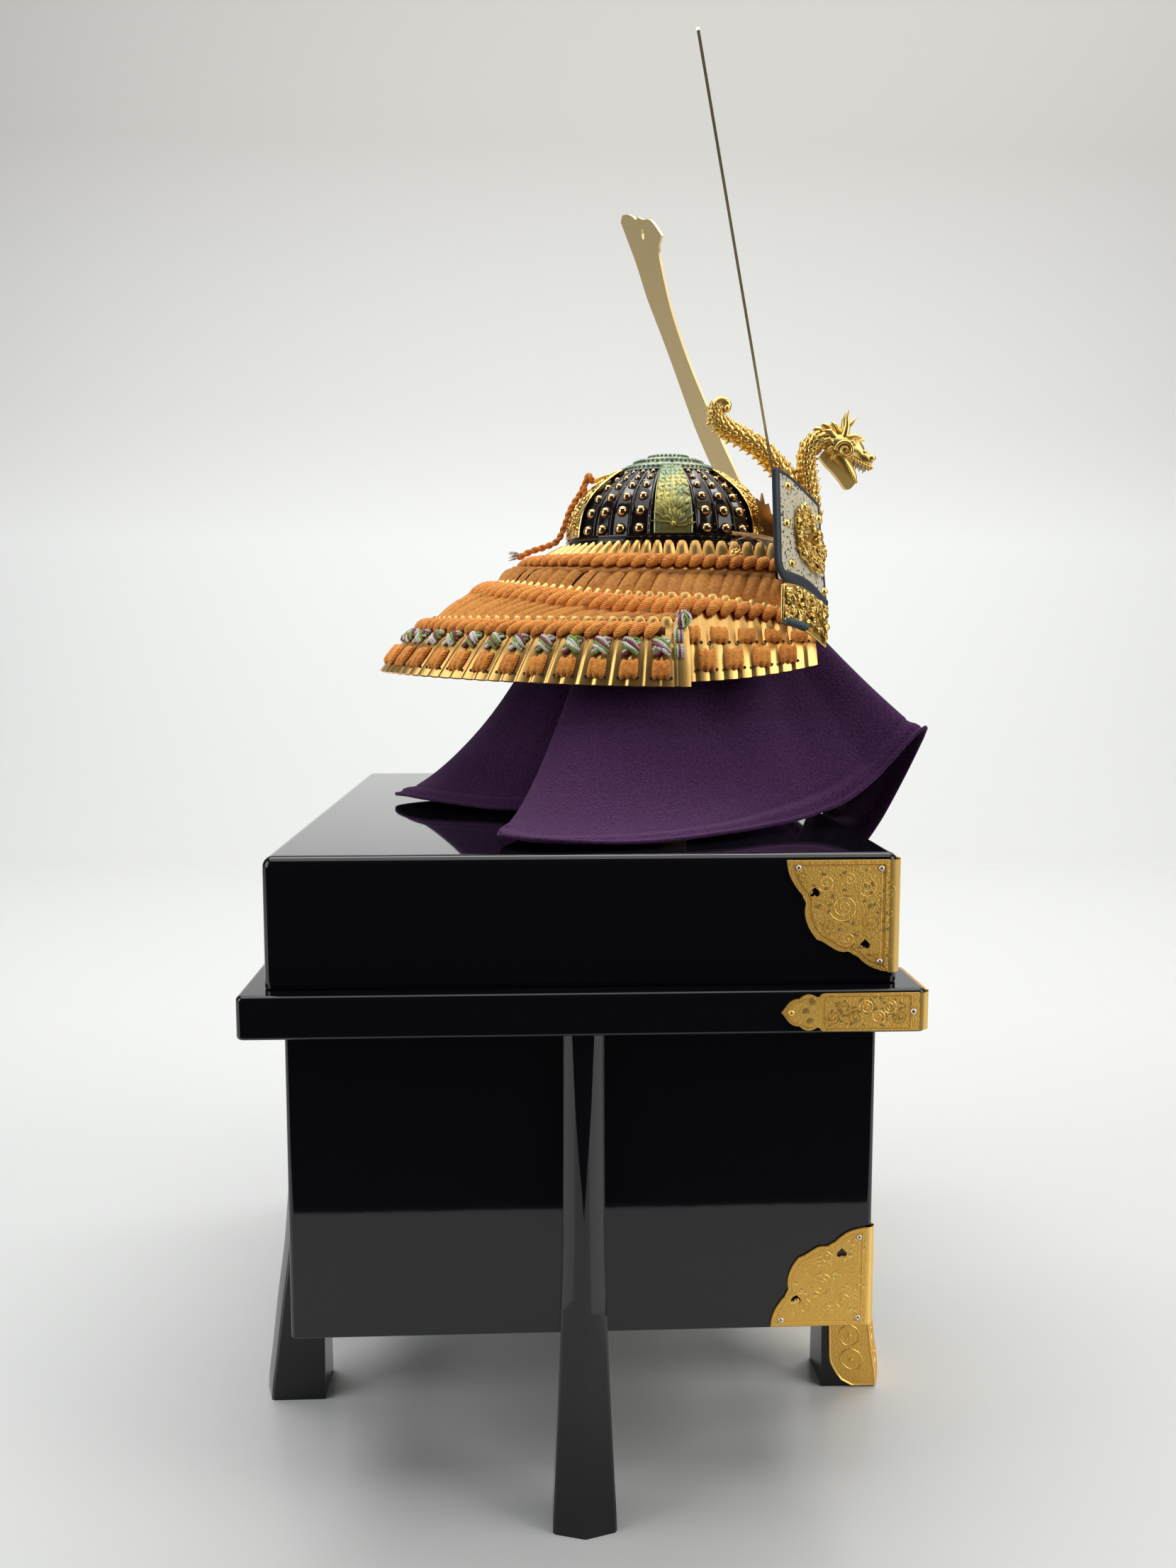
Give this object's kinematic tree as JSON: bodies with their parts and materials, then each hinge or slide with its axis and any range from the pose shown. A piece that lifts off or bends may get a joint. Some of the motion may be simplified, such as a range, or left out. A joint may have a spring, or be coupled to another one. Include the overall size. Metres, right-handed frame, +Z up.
{
  "type": "kabuto display helmet on a cloth-draped stand and lacquered chest",
  "caption": "Samurai display helmet with tall flat horns, dragon crest, riveted bowl and laced neck guard, on a draped cloth over a black lacquered chest with gold corner fittings",
  "frame": {"origin": "centre of the bounding box on the floor under the chest", "axes": "+Z up, -Y the front towards which the helmet faces, +X the helmet's left-hand end of the chest"},
  "size_m": [0.3974, 0.3246, 0.6302],
  "materials": {
    "black_lacquer": "mirror-gloss black lacquer on wood",
    "gold_fitting": "satin gilt sheet with engraved scrolls",
    "gold_plate": "smooth satin gilt sheet",
    "gold_relief": "bright gilt casting",
    "gold_scale": "gilt scales",
    "antique_relief": "green-gold relief",
    "bowl_metal": "gloss black lacquered metal with rivets",
    "orange_braid": "woven cord",
    "mixed_braid": "white, green and maroon woven cord",
    "speckled_leather": "cream leather with dark specks and navy edging",
    "purple_cloth": "matt crepe cloth",
    "post_wood": "plain oiled wood"
  },
  "bodies": {
    "root": {"chest_body": "black_lacquer", "chest_rim": "black_lacquer", "chest_lid": "black_lacquer", "leg_front_left": "black_lacquer", "leg_back_left": "black_lacquer", "leg_end_left": "black_lacquer", "leg_front_right": "black_lacquer", "leg_back_right": "black_lacquer", "leg_end_right": "black_lacquer", "foot_cover_left": "gold_fitting", "foot_cover_right": "gold_fitting", "lid_plate_left": "gold_fitting", "lid_plate_right": "gold_fitting", "rim_band_left": "gold_fitting", "rim_band_right": "gold_fitting", "body_plate_left": "gold_fitting", "body_plate_right": "gold_fitting", "display_post": "post_wood", "drape_cloth": "purple_cloth", "bowl": "bowl_metal", "bowl_band": "bowl_metal", "crown_ornament": "antique_relief", "panel_left": "antique_relief", "panel_right": "antique_relief", "panel_back": "gold_relief", "panel_front": "gold_relief", "peak": "gold_plate", "crest_plate": "gold_relief", "dragon": "gold_relief", "horn_left": "gold_plate", "horn_right": "gold_plate", "guard_tier_1": "gold_scale", "guard_tier_2": "gold_scale", "guard_tier_3": "gold_scale", "braid_1": "orange_braid", "braid_2": "orange_braid", "braid_3": "orange_braid", "lacing_1": "orange_braid", "lacing_2": "orange_braid", "lace_band": "orange_braid", "front_lace_upper_left": "orange_braid", "front_lace_upper_right": "orange_braid", "front_lace_lower_left": "orange_braid", "front_lace_lower_right": "orange_braid", "knot_band": "mixed_braid", "corner_knot_left": "mixed_braid", "corner_knot_right": "mixed_braid", "turnback_upper_left": "speckled_leather", "turnback_upper_right": "speckled_leather", "turnback_lower_left": "gold_relief", "turnback_lower_right": "gold_relief", "turnback_plaque_left": "gold_relief", "turnback_plaque_right": "gold_relief", "back_ring": "gold_plate", "back_cord": "orange_braid"}
  },
  "joints": []
}
